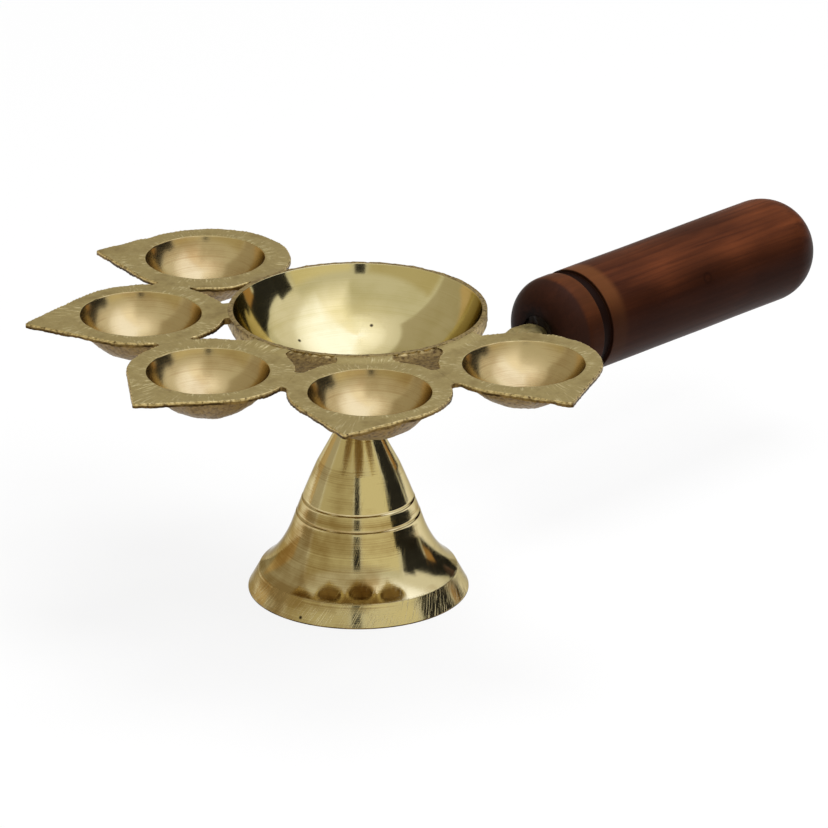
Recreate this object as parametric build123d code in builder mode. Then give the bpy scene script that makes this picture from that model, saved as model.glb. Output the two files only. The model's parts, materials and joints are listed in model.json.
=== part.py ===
from build123d import *
import math
import os

# Five-cup aarti lamp in millimetres and degrees: a bowl ringed by a fan of five leaf cups, on a hollow bell
# pedestal, with a turned wooden handle. The origin is the centre of the pedestal's foot on the table,
# Z is up and X runs along the handle. Leaf 3 points away from the handle.

# Pedestal bell, from the table up: the height of each stage and the radius at its top
foot_radius = 35.6
foot_lip_height = 0.4
band_height = 6.6
band_top_radius = 32.0
cove_height = 14.5
cove_top_radius = 21.65
cove_sag = 1.07
cone_height = 21.45
cone_top_radius = 13.4
cone_swell = 0.22
crown_height = 14.05
crown_radius = 6.0
bell_wall = 2.2
hollow_in_crown = 3.05
hollow_top_radius = 8.0

# Two engraved lines round the cone, as rises above the cone's foot
lower_line_rise = 5.1
upper_line_rise = 10.0
engraved_width = 0.7
engraved_depth = 0.4

# Bowl, its hub and the stud that holds it on the pedestal
bowl_rim_radius = 41.35
bowl_rim_land = 1.65
bowl_rim_band = 4.2
bowl_outer_depth = 28.6
bowl_wall = 2.0
hub_radius = 11.0
hub_height = 10.4
hub_edge_round = 2.5
hub_roof = 3.0
stud_radius = 3.0
stud_grip = 9.0

# Fan of leaf cups
leaf_count = 5
leaf_spacing_angle = 45.8
fan_turn_angle = 2.4
tip_turn_ratio = 0.694
leaf_gap = 1.1
bowl_gap = 0.55
leaf_drop = 0.9
flange_width = 6.4
flange_thickness = 1.5
cup_shift = 1.3
cup_depth = 13.1
cup_wall = 1.3
tip_overhang = 12.1
tip_radius = 0.8
neck_fillet = 1.84
bowl_neck_fillet = 2.0

# Recessed webs in the last two gaps of the fan
web_thickness = 1.2
web_lap = 1.2

# Tang and wooden handle
tang_radius = 3.5
tang_thread_radius = 3.0
tang_headroom = 0.5
tang_in_handle = 44.5
tang_end_gap = 0.5
spot_face_depth = 0.6
spot_face_margin = 0.7
hub_core_wall = 0.95
handle_front = 82.9
handle_radius = 17.5
handle_length = 126.0
handle_end_flat = 0.3
mouth_land = 1.7
lac_radius = 6.5
lac_depth = 10.0
lac_recess = 0.6
groove_setback = 15.7
groove_width = 4.1
groove_depth = 1.2

# Clearances
thread_clearance = 0.05
running_clearance = 0.05
hole_bottom_gap = 0.2

# Levels
band_top_z = foot_lip_height + band_height
cove_top_z = band_top_z + cove_height
cone_top_z = cove_top_z + cone_height
pedestal_top_z = cone_top_z + crown_height
bowl_bottom_z = pedestal_top_z + hub_height
rim_z = bowl_bottom_z + bowl_outer_depth
leaf_z = rim_z - leaf_drop
flange_under_z = leaf_z - flange_thickness
tang_z = bowl_bottom_z - tang_headroom - tang_radius
hollow_top_z = cone_top_z + hollow_in_crown
stud_bottom_z = pedestal_top_z - stud_grip
stud_top_z = bowl_bottom_z - hub_roof
cup_floor_z = leaf_z - cup_depth

# Places along the handle's axis
tang_start = stud_radius + thread_clearance + hub_core_wall + hole_bottom_gap
tang_seat = hub_radius - spot_face_depth
tang_end = handle_front + tang_in_handle
handle_end = handle_front + handle_length

# The leaves' circles stand leaf_gap apart from each other and bowl_gap from the bowl's rim
half_spacing = math.radians(leaf_spacing_angle / 2)
half_pitch_at_rim = (bowl_rim_radius + bowl_gap) * math.sin(half_spacing)
leaf_radius = (half_pitch_at_rim - leaf_gap / 2) / (1 - math.sin(half_spacing))
leaf_distance = bowl_rim_radius + bowl_gap + leaf_radius
cup_distance = leaf_distance + cup_shift
cup_radius = leaf_radius - flange_width
cup_outer_radius = cup_radius + cup_wall
tip_distance = leaf_radius + tip_overhang - tip_radius
fan_direction = 180 + fan_turn_angle

os.makedirs("parts", exist_ok=True)


def polar(radius, angle):
    """Point in plan at a radius and an angle in degrees from the handle's direction."""
    turn = math.radians(angle)
    return (radius * math.cos(turn), radius * math.sin(turn))


def leaf_angle(number):
    """Direction of a leaf's centre seen from the bowl."""
    return fan_direction + (number - (leaf_count + 1) / 2) * leaf_spacing_angle


def tip_angle(number):
    """Direction of a leaf's tip, which leans towards the middle leaf."""
    return fan_direction + (number - (leaf_count + 1) / 2) * leaf_spacing_angle * tip_turn_ratio


def finish(piece, name):
    """Label a finished piece and write its file."""
    piece.part.label = name
    export_step(piece.part, f"parts/{name}.step")


# Pedestal bell: one turned wall, hollow below, drilled through its crown for the stud
with BuildPart() as pedestal_bell:
    with BuildSketch(Plane.XZ):
        with BuildLine():
            Line((0, 0), (foot_radius, 0))
            Line((foot_radius, 0), (foot_radius, foot_lip_height))
            Line((foot_radius, foot_lip_height), (band_top_radius, band_top_z))
            SagittaArc((band_top_radius, band_top_z), (cove_top_radius, cove_top_z), cove_sag)
            SagittaArc((cove_top_radius, cove_top_z), (cone_top_radius, cone_top_z), -cone_swell)
            Line((cone_top_radius, cone_top_z), (crown_radius, pedestal_top_z))
            Line((crown_radius, pedestal_top_z), (0, pedestal_top_z))
            Line((0, pedestal_top_z), (0, 0))
        make_face()
    revolve(axis=Axis.Z)
    with BuildSketch(Plane.XZ):
        with BuildLine():
            Line((0, 0), (foot_radius - bell_wall, 0))
            Line((foot_radius - bell_wall, 0), (band_top_radius - bell_wall, band_top_z))
            SagittaArc(
                (band_top_radius - bell_wall, band_top_z),
                (cove_top_radius - bell_wall, cove_top_z),
                cove_sag,
            )
            Line((cove_top_radius - bell_wall, cove_top_z), (cone_top_radius - bell_wall, cone_top_z))
            Line((cone_top_radius - bell_wall, cone_top_z), (hollow_top_radius, hollow_top_z))
            Line((hollow_top_radius, hollow_top_z), (0, hollow_top_z))
            Line((0, hollow_top_z), (0, 0))
        make_face()
    revolve(axis=Axis.Z, mode=Mode.SUBTRACT)
    with BuildSketch(Plane.XY.offset(hollow_top_z)):
        Circle(stud_radius + thread_clearance)
    extrude(amount=pedestal_top_z - hollow_top_z, mode=Mode.SUBTRACT)
    for rise in (lower_line_rise, upper_line_rise):
        line_radius = cove_top_radius + (cone_top_radius - cove_top_radius) * rise / cone_height
        with BuildSketch(Plane.XZ):
            with Locations((line_radius, cove_top_z + rise)):
                Rectangle(2 * engraved_depth, engraved_width)
        revolve(axis=Axis.Z, mode=Mode.SUBTRACT)
finish(pedestal_bell, "pedestal_bell")

# Stud: a plain round bar for the screw that joins pedestal and hub
with BuildPart() as pedestal_stud:
    with BuildSketch(Plane.XY.offset(stud_bottom_z)):
        Circle(stud_radius)
    extrude(amount=stud_top_z - stud_bottom_z)
finish(pedestal_stud, "pedestal_stud")

# Central bowl with its hub below: drilled from below for the stud and from the side for the tang
with BuildPart() as central_bowl:
    with BuildSketch(Plane.XZ):
        with BuildLine():
            TangentArc((0, bowl_bottom_z), (bowl_rim_radius, rim_z - bowl_rim_band), tangent=(1, 0))
            Line((bowl_rim_radius, rim_z - bowl_rim_band), (bowl_rim_radius, rim_z))
            Line((bowl_rim_radius, rim_z), (0, rim_z))
            Line((0, rim_z), (0, bowl_bottom_z))
        make_face()
    revolve(axis=Axis.Z)
    with BuildSketch(Plane.XY.offset(pedestal_top_z)):
        Circle(hub_radius)
    extrude(amount=hub_height + bowl_outer_depth / 2)
    hub_edge = edges().group_by(Axis.Z)[0]
    fillet(hub_edge, radius=min(hub_edge_round, hub_radius - crown_radius))
    bowl_mouth_radius = bowl_rim_radius - bowl_rim_land
    with BuildSketch(Plane.XZ):
        with BuildLine():
            TangentArc((0, bowl_bottom_z + bowl_wall), (bowl_mouth_radius, rim_z), tangent=(1, 0))
            Line((bowl_mouth_radius, rim_z), (0, rim_z))
            Line((0, rim_z), (0, bowl_bottom_z + bowl_wall))
        make_face()
    revolve(axis=Axis.Z, mode=Mode.SUBTRACT)
    with BuildSketch(Plane.XY.offset(pedestal_top_z)):
        Circle(stud_radius + thread_clearance)
    extrude(amount=stud_top_z + hole_bottom_gap - pedestal_top_z, mode=Mode.SUBTRACT)
    with BuildSketch(Plane.YZ.offset(tang_start - hole_bottom_gap)):
        with Locations((0, tang_z)):
            Circle(tang_thread_radius + thread_clearance)
    extrude(amount=hub_radius, mode=Mode.SUBTRACT)
    with BuildSketch(Plane.YZ.offset(tang_seat)):
        with Locations((0, tang_z)):
            Circle(tang_radius + spot_face_margin)
    extrude(amount=hub_radius, mode=Mode.SUBTRACT)
finish(central_bowl, "central_bowl")

# Leaf cups: a pointed flange with a round cup, cut off half way along its necks to the next leaves
neck_fillet_offset = math.sqrt((leaf_radius + neck_fillet) ** 2 - (leaf_radius + leaf_gap / 2) ** 2)
bowl_side = bowl_rim_radius + bowl_neck_fillet
leaf_side = leaf_radius + bowl_neck_fillet
bowl_fillet_angle = math.degrees(
    math.acos((bowl_side**2 + leaf_distance**2 - leaf_side**2) / (2 * bowl_side * leaf_distance))
)
side_angle = math.degrees(math.acos((leaf_radius - tip_radius) / tip_distance))
neck_distance = leaf_distance * math.cos(half_spacing)
fan_reach = cup_distance + tip_distance + leaf_radius


def neck_ends(angle):
    """The two fillet centres of the neck that crosses the given direction."""
    return [polar(neck_distance + side * neck_fillet_offset, angle) for side in (-1, 1)]


def leaf_outline(number):
    """Draw a leaf's flange in plan: necks first, then the leaf's circle and its pointed tip."""
    angle = leaf_angle(number)
    centre = polar(leaf_distance, angle)
    bowl_ends = [polar(bowl_side, angle + side * bowl_fillet_angle) for side in (-1, 1)]
    Polygon((0, 0), bowl_ends[0], centre, bowl_ends[1], align=None)
    with Locations(*bowl_ends):
        Circle(bowl_neck_fillet, mode=Mode.SUBTRACT)
    for side in (-1, 1):
        if 1 <= number + side <= leaf_count:
            ends = neck_ends(angle + side * leaf_spacing_angle / 2)
            beyond = polar(leaf_distance, leaf_angle(number + side))
            Polygon(centre, ends[0], beyond, ends[1], align=None)
            with Locations(*ends):
                Circle(neck_fillet, mode=Mode.SUBTRACT)
    with Locations(centre):
        Circle(leaf_radius)
    tip_direction = tip_angle(number)
    tip_centre = Vector(*centre) + Vector(*polar(tip_distance, tip_direction))
    corners = []
    for side in (-1, 1):
        reach = tip_direction + side * side_angle
        corners.append(Vector(*centre) + Vector(*polar(leaf_radius, reach)))
        corners.append(tip_centre + Vector(*polar(tip_radius, reach)))
    Polygon(*[(p.X, p.Y) for p in (corners[0], corners[1], corners[3], corners[2])], align=None)
    with Locations((tip_centre.X, tip_centre.Y)):
        Circle(tip_radius)
    first = -leaf_spacing_angle / 2 if number > 1 else -leaf_spacing_angle
    last = leaf_spacing_angle / 2 if number < leaf_count else leaf_spacing_angle
    sector = [polar(fan_reach, angle + turn) for turn in (first, 0, last)]
    Polygon((0, 0), *sector, align=None, mode=Mode.INTERSECT)
    Circle(bowl_rim_radius, mode=Mode.SUBTRACT)


for number in range(1, leaf_count + 1):
    cup_x, cup_y = polar(cup_distance, leaf_angle(number))
    cup_section = Plane(origin=(cup_x, cup_y, 0), x_dir=(1, 0, 0), z_dir=(0, -1, 0))
    cup_axis = Axis((cup_x, cup_y, 0), (0, 0, 1))
    with BuildPart() as leaf_cup:
        with BuildSketch(Plane.XY.offset(flange_under_z)):
            leaf_outline(number)
        extrude(amount=flange_thickness)
        with BuildSketch(cup_section):
            with BuildLine():
                TangentArc((0, cup_floor_z - cup_wall), (cup_outer_radius, flange_under_z), tangent=(1, 0))
                Line((cup_outer_radius, flange_under_z), (cup_outer_radius, leaf_z))
                Line((cup_outer_radius, leaf_z), (0, leaf_z))
                Line((0, leaf_z), (0, cup_floor_z - cup_wall))
            make_face()
        revolve(axis=cup_axis)
        with BuildSketch(cup_section):
            with BuildLine():
                TangentArc((0, cup_floor_z), (cup_radius, leaf_z), tangent=(1, 0))
                Line((cup_radius, leaf_z), (0, leaf_z))
                Line((0, leaf_z), (0, cup_floor_z))
            make_face()
        revolve(axis=cup_axis, mode=Mode.SUBTRACT)
    finish(leaf_cup, f"leaf_cup_{number}")

# Webs: cast skins that close the gaps on both sides of the last leaf but one, tucked under the flanges
web_reach = neck_distance - neck_fillet_offset + neck_fillet + web_lap
for name, number in (("web_front", leaf_count - 2), ("web_side", leaf_count - 1)):
    sides = [leaf_angle(number), leaf_angle(number + 1)]
    with BuildPart() as web:
        with BuildSketch(Plane.XY.offset(flange_under_z - web_thickness)):
            Circle(web_reach)
            sector = [polar(fan_reach, angle) for angle in sides]
            Polygon((0, 0), *sector, align=None, mode=Mode.INTERSECT)
            Circle(bowl_rim_radius, mode=Mode.SUBTRACT)
            with Locations(*[polar(leaf_distance, angle) for angle in sides]):
                Circle(leaf_radius - web_lap, mode=Mode.SUBTRACT)
        extrude(amount=web_thickness)
    finish(web, name)

# Tang: a brass rod screwed into the hub's side and burnt into the handle
handle_axis = Axis((0, 0, tang_z), (1, 0, 0))
with BuildPart() as handle_tang:
    with BuildSketch(Plane.YZ.offset(tang_start)):
        with Locations((0, tang_z)):
            Circle(tang_thread_radius)
    extrude(amount=tang_seat - tang_start)
    with BuildSketch(Plane.YZ.offset(tang_seat)):
        with Locations((0, tang_z)):
            Circle(tang_radius)
    extrude(amount=tang_end - tang_seat)
finish(handle_tang, "handle_tang")

# Wooden handle: turned, with one groove, a rounded front edge and a domed end
front_round = handle_radius - lac_radius - mouth_land
end_round = handle_radius - handle_end_flat
front_flat = tang_z + handle_radius - front_round
top = tang_z + handle_radius
quarter = math.sqrt(0.5)
with BuildPart() as wood_handle:
    with BuildSketch(Plane.XZ):
        with BuildLine():
            Line((handle_front, tang_z), (handle_front, front_flat))
            ThreePointArc(
                (handle_front, front_flat),
                (handle_front + front_round * (1 - quarter), front_flat + front_round * quarter),
                (handle_front + front_round, top),
            )
            Line((handle_front + front_round, top), (handle_end - end_round, top))
            ThreePointArc(
                (handle_end - end_round, top),
                (handle_end - end_round * (1 - quarter), top - end_round * (1 - quarter)),
                (handle_end, top - end_round),
            )
            Line((handle_end, top - end_round), (handle_end, tang_z))
            Line((handle_end, tang_z), (handle_front, tang_z))
        make_face()
    revolve(axis=handle_axis)
    with BuildSketch(Plane.XZ):
        with Locations((handle_front + groove_setback, tang_z + handle_radius)):
            Rectangle(groove_width, 2 * groove_depth)
    revolve(axis=handle_axis, mode=Mode.SUBTRACT)
    with BuildSketch(Plane.YZ.offset(handle_front)):
        with Locations((0, tang_z)):
            Circle(tang_radius + running_clearance)
    extrude(amount=tang_in_handle + tang_end_gap, mode=Mode.SUBTRACT)
    with BuildSketch(Plane.YZ.offset(handle_front)):
        with Locations((0, tang_z)):
            Circle(lac_radius)
    extrude(amount=lac_depth, mode=Mode.SUBTRACT)
finish(wood_handle, "wood_handle")

# Lac plug: the dark filling round the tang in the handle's mouth
with BuildPart() as lac_plug:
    with BuildSketch(Plane.YZ.offset(handle_front + lac_recess)):
        with Locations((0, tang_z)):
            Circle(lac_radius)
            Circle(tang_radius + running_clearance, mode=Mode.SUBTRACT)
    extrude(amount=lac_depth - lac_recess)
finish(lac_plug, "lac_plug")
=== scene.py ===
import json
import math

import bpy
import numpy as np
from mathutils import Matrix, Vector


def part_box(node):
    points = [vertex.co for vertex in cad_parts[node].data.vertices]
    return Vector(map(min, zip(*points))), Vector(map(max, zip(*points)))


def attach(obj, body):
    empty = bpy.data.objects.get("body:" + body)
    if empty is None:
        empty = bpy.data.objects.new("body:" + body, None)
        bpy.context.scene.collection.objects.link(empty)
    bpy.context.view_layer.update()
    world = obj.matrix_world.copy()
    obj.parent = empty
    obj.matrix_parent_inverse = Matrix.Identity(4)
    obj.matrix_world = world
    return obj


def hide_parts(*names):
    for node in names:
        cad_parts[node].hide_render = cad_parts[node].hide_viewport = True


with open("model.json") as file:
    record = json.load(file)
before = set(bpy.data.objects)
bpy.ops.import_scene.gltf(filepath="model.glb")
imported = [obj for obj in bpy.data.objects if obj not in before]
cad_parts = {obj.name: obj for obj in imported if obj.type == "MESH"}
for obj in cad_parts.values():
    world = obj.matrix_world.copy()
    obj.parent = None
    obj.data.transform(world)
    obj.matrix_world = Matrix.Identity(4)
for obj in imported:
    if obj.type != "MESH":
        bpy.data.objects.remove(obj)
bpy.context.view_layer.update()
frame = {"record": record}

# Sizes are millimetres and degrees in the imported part's frame: Z up, X along the handle.
MM = 0.001
PER_MM = 1 / MM


def box_mm(node):
    """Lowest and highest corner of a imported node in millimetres."""
    low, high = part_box(node)
    return np.array(low) / MM, np.array(high) / MM


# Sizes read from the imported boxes
bell_high = box_mm("pedestal_bell")[1]
bowl_low, bowl_high = box_mm("central_bowl")
stud_low, stud_high = box_mm("pedestal_stud")
tang_low, tang_high = box_mm("handle_tang")
lac_low, lac_high = box_mm("lac_plug")
handle_low, handle_high = box_mm("wood_handle")
leaf_high = box_mm("leaf_cup_3")[1]
web_low, web_high = box_mm("web_front")
foot_radius = bell_high[0]
bell_top = bell_high[2]
rim_radius = bowl_high[0]
rim_z = bowl_high[2]
stud_radius = stud_high[0]
tang_radius = tang_high[1]
lac_radius = lac_high[1]
handle_radius = handle_high[1]
axis_z = (handle_low[2] + handle_high[2]) / 2
leaf_z = leaf_high[2]
flange_under_z = web_high[2]

# Pedestal bell: height and outer radius of each turned stage, and its wall
foot_lip = 0.4
band_top, band_radius = 7.0, 32.0
cove_top, cove_radius = 21.5, 21.65
cove_pull = (25.5, 11.6)
cone_top, cone_radius, cone_swell = 42.95, 13.4, 0.22
crown_radius = 6.0
band_edge = (band_radius + 0.5, band_top - 1)
bell_wall = 2.2
hollow_top, hollow_radius = 46.0, 8.0
engraved_heights = (26.6, 31.5)
engraved_width, engraved_depth, burr_height = 0.24, 0.26, 0.07

# Bowl and hub
rim_land = 1.65
rim_band = 4.2
rim_brow = 1.5
rim_wear = 0.5
bowl_outer_depth = 28.6
bowl_wall = 2.0
hub_radius = 11.0
hub_round = 2.5
hub_roof = 3.0
hole_bottom_gap = 0.2
spot_face_depth, spot_face_radius = 0.6, 4.2

# Turned ends close in a fan from this radius
pole_radius = 0.3

# Screws
thread_clearance = 0.05
thread_pitch, thread_depth = 1.0, 0.45
tang_thread_radius = 3.0

# Lengths and slopes below this count as none
tiny = 1e-6

# Fan of leaf cups
leaf_count = 5
leaf_spacing = 45.8
fan_direction = 182.4
tip_turn_ratio = 0.694
leaf_gap, bowl_gap = 1.1, 0.55
flange_width = 6.4
cup_shift, cup_depth, cup_wall = 1.3, 13.1, 1.3
tip_overhang, tip_radius = 12.1, 0.8
neck_fillet, bowl_neck_fillet, cup_fillet = 1.84, 2.0, 0.8
web_lap = 1.2

# What the hand left on the leaves: how far each tip was bent aside and worn back, how much fuller each blade
# and shallower each cup was cast, how the necks rise to the bowl's rim, the fillets at the open holes, the
# roundings of lip and border, how high the webs fill their gaps, and how worn they are
tip_leans = (5.0, -3.2, 3.3, -1.4, 3.4)
tip_wears = (0.9, -0.6, 0.9, 0.9, 0.9)
blade_growths = (1.1, 0.0, 0.6, 0.0, 0.0)
cup_fills = (0.0, 0.0, 0.0, 0.0, 1.0)
neck_rise_length, neck_step = 5.0, 0.15
hole_fillet = 1.2
lip_round, border_round = 0.5, 0.45
web_fill, web_wear, web_rim_wear = 1.2, 0.1, 0.55

# Wooden handle
mouth_land = 1.7
end_flat = 0.3
groove_setback, groove_width, groove_depth = 15.7, 4.1, 1.2
knot_place = (147.4, -16.2, 70.1)

# The leaves' circles keep these gaps to each other and to the rim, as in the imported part
half_spacing = math.radians(leaf_spacing / 2)
half_pitch_at_rim = (rim_radius + bowl_gap) * math.sin(half_spacing)
leaf_radius = (half_pitch_at_rim - leaf_gap / 2) / (1 - math.sin(half_spacing))
leaf_distance = rim_radius + bowl_gap + leaf_radius
cup_distance = leaf_distance + cup_shift
cup_radius = leaf_radius - flange_width
tip_distance = leaf_radius + tip_overhang - tip_radius
neck_distance = leaf_distance * math.cos(half_spacing)
first_web = leaf_count - 2

# Camera: the photo's fitted lens, and its aim right of the pedestal's axis and above the table
photo_side = 828
focal_px = 7704
camera_distance = 2465.3
camera_elevation = 22.195
handle_azimuth = 45.3265
aim_right, aim_up = 17.93, 59.65

to_right = np.array([math.cos(math.radians(handle_azimuth)), -math.sin(math.radians(handle_azimuth)), 0])
to_back = np.array([math.sin(math.radians(handle_azimuth)), math.cos(math.radians(handle_azimuth)), 0])
upward = np.array([0.0, 0.0, 1.0])


def polar(radius, angle):
    """Point in plan at a radius and an angle in degrees from the handle's direction."""
    turn = math.radians(angle)
    return np.array([radius * math.cos(turn), radius * math.sin(turn)])


def ripple(points, wave, waves=14):
    """Even noise of strength about 1: a sum of sine waves near one wavelength, each along its own
    direction. The draw is seeded by the wavelength."""
    draw = np.random.default_rng(round(PER_MM * wave))
    direction = draw.normal(size=(points.shape[-1], waves))
    direction /= np.linalg.norm(direction, axis=0)
    pace = 2 * np.pi / (wave * draw.uniform(0.7, 1.4, waves))
    phase = draw.uniform(0, 2 * np.pi, waves)
    return np.sin(points @ (direction * pace) + phase).sum(-1) * math.sqrt(2 / waves)


def smoothstep(value, low, high):
    """0 below low, 1 above high and an S-shaped rise between."""
    share = np.clip((value - low) / (high - low), 0, 1)
    return share * share * (3 - 2 * share)


def dome(bottom, edge, count):
    """Arc of (radius, height) from the axis, where it is level, to the edge. At angle t it has the radius R
    sin t and the height bottom + R (1 - cos t)."""
    rise = edge[1] - bottom
    radius = (edge[0] ** 2 + rise**2) / (2 * rise)
    turn = np.linspace(0, math.atan2(edge[0], radius - rise), count)
    return np.stack([radius * np.sin(turn), bottom + radius * (1 - np.cos(turn))], -1)


def bow(start, end, sag, count):
    """Shallow curve between two points: the chord plus sag times 4 t (1 - t) to its left."""
    start, end = np.array(start, float), np.array(end, float)
    share = np.linspace(0, 1, count)[:, None]
    chord = end - start
    left = np.array([-chord[1], chord[0]]) / np.hypot(*chord)
    return start + chord * share + left * sag * 4 * share * (1 - share)


def pulled(start, pull, end, count):
    """Curve that leaves the start towards the point pull and reaches the end from it: the three points
    weighted by (1 - t)^2, 2 t (1 - t) and t^2."""
    start, pull, end = np.array(start), np.array(pull), np.array(end)
    share = np.linspace(0, 1, count)[:, None]
    return (1 - share) ** 2 * start + 2 * share * (1 - share) * pull + share**2 * end


def eased(corners, ease, count):
    """Profile through the corners, softened by a running mean of half width ease, in count points that
    stand closer where it turns."""
    corners = np.concatenate([np.atleast_2d(np.asarray(c, float)) for c in corners])
    reach = np.append(0, np.cumsum(np.hypot(*np.diff(corners, axis=0).T)))
    half = 6
    along = np.linspace(0, reach[-1], int(reach[-1] / ease * half))
    dense = np.stack([np.interp(along, reach, corners[:, k]) for k in (0, 1)], -1)
    lead = 2 * dense[0] - dense[half:0:-1]
    tail = 2 * dense[-1] - dense[-2 : -half - 2 : -1]
    kernel = np.hanning(2 * half + 3)[1:-1]
    padded = np.concatenate([lead, dense, tail])
    smooth = np.stack([np.convolve(column, kernel / kernel.sum(), "valid") for column in padded.T], -1)
    run = np.diff(smooth, axis=0)
    heading = np.unwrap(np.arctan2(run[:, 1], run[:, 0]))
    turning = np.abs(np.diff(heading, append=heading[-1]))
    weight = np.hypot(*run.T) / reach[-1] + turning / max(turning.sum(), 1e-9)
    measure = np.append(0, np.cumsum(weight))
    picked = np.linspace(0, measure[-1], count)
    return np.stack([np.interp(picked, measure, smooth[:, k]) for k in (0, 1)], -1)


def lathe(profile, around):
    """Rings of a turned shape: each profile point (radius, height) carried round the Z axis."""
    turn = np.arange(around) * 2 * np.pi / around
    radius, height = profile[:, :1], profile[:, 1:]
    return np.stack([radius * np.cos(turn), radius * np.sin(turn), height + 0 * turn], -1)


def along_handle(rings):
    """Turn rings made round Z so that they stand round the handle's axis, with height along X."""
    return np.stack([rings[..., 2], rings[..., 0], rings[..., 1] + axis_z], -1)


def skin(name, rings, finishes, starts=(0,), loop=False, edge=None):
    """Closed mesh over rings of points [ring, around], joined by quads and turned outward. Fans close the
    two ends, or with loop the last ring joins the first. Each finish begins at its ring in starts. The UV
    map runs round in u and gives the millimetres along the rings in v. The point attribute edge tells the
    finishes where the metal is worn or hazed, above 0, and where it is darkened with painted shade, below 0."""
    crease_angle = 35
    count, around = rings.shape[:2]
    edge = np.zeros((count, around)) if edge is None else edge
    rows = np.arange(count if loop else count - 1)
    nexts = (rows + 1) % count
    centred = rings - rings.mean((0, 1))
    beside = np.roll(centred, -1, axis=1)
    volume = np.sum(centred[rows] * np.cross(beside[rows] - centred[nexts], beside[nexts]))
    if volume < 0:
        rings, edge = rings[:, ::-1], edge[:, ::-1]
    index = np.arange(count * around).reshape(count, around)
    after = np.roll(index, -1, axis=1)
    quads = np.stack([index[rows], after[rows], after[nexts], index[nexts]], -1).reshape(-1, 4)
    steps = np.linalg.norm(rings[nexts] - rings[rows], axis=-1).mean(1)
    run = np.append(0, np.cumsum(steps))
    turn = np.tile(np.arange(around) / around, len(rows))
    here, there = np.repeat(run[:-1], around), np.repeat(run[1:], around)
    u = np.stack([turn, turn + 1 / around, turn + 1 / around, turn], -1)
    v = np.stack([here, here, there, there], -1)
    points, marks = rings.reshape(-1, 3), edge.reshape(-1)
    faces, uvs, bands = quads.tolist(), np.stack([u, v], -1).reshape(-1, 2), np.repeat(rows, around)
    if not loop:
        for row, ends in ((0, (after, index)), (count - 1, (index, after))):
            fan = np.stack([np.full(around, len(points)), ends[0][row], ends[1][row]], -1)
            flat = np.stack([np.arange(around) / around, np.full(around, run[row])], -1)
            points = np.vstack([points, rings[row].mean(0)])
            marks = np.append(marks, marks[row * around])
            faces += fan.tolist()
            uvs = np.vstack([uvs, np.repeat(flat, 3, axis=0)])
            bands = np.append(bands, np.full(around, min(row, count - 2)))
    mesh = bpy.data.meshes.new(name)
    mesh.from_pydata((points * MM).tolist(), [], faces)
    mesh.uv_layers.new(name="turning").data.foreach_set("uv", uvs.astype(np.float32).ravel())
    mesh.attributes.new("edge", "FLOAT", "POINT").data.foreach_set("value", marks.astype(np.float32))
    for finish in finishes:
        mesh.materials.append(finish)
    mesh.polygons.foreach_set("material_index", np.searchsorted(starts, bands, side="right") - 1)
    mesh.shade_smooth()
    mesh.set_sharp_from_angle(angle=math.radians(crease_angle))
    mesh.update()
    piece = bpy.data.objects.new(name, mesh)
    bpy.context.scene.collection.objects.link(piece)
    return piece


node_body = {node: body for body, nodes in frame["record"]["behaviour"]["bodies"].items() for node in nodes}


def stand_for(piece, node):
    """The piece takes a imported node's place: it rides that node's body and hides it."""
    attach(piece, node_body[node])
    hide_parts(node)


def colour(code):
    """Linear colour from an sRGB hex code."""
    parts = np.array([int(code[k : k + 2], 16) for k in (1, 3, 5)]) / 255
    linear = np.where(parts <= 0.04045, parts / 12.92, ((parts + 0.055) / 1.055) ** 2.4)
    return (*linear.tolist(), 1.0)


def add(tree, kind, sockets=None, out=0, **settings):
    """Add one shader node, apply its settings, set or link its input sockets by name or number, and return
    the output of the name or number out."""
    made = tree.nodes.new("ShaderNode" + kind)
    for key, value in settings.items():
        setattr(made, key, value)
    for key, value in (sockets or {}).items():
        if isinstance(value, bpy.types.NodeSocket):
            tree.links.new(value, made.inputs[key])
        else:
            made.inputs[key].default_value = value
    return made.outputs[out]


def finish_named(name, **constants):
    """New material: its node tree and its main shader with constant sockets set by name."""
    made = bpy.data.materials.new(name)
    made.use_nodes = True
    tree = made.node_tree
    shader = tree.nodes["Principled BSDF"]
    for key, value in constants.items():
        shader.inputs[key.replace("_", " ")].default_value = value
    return made, tree, shader


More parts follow.
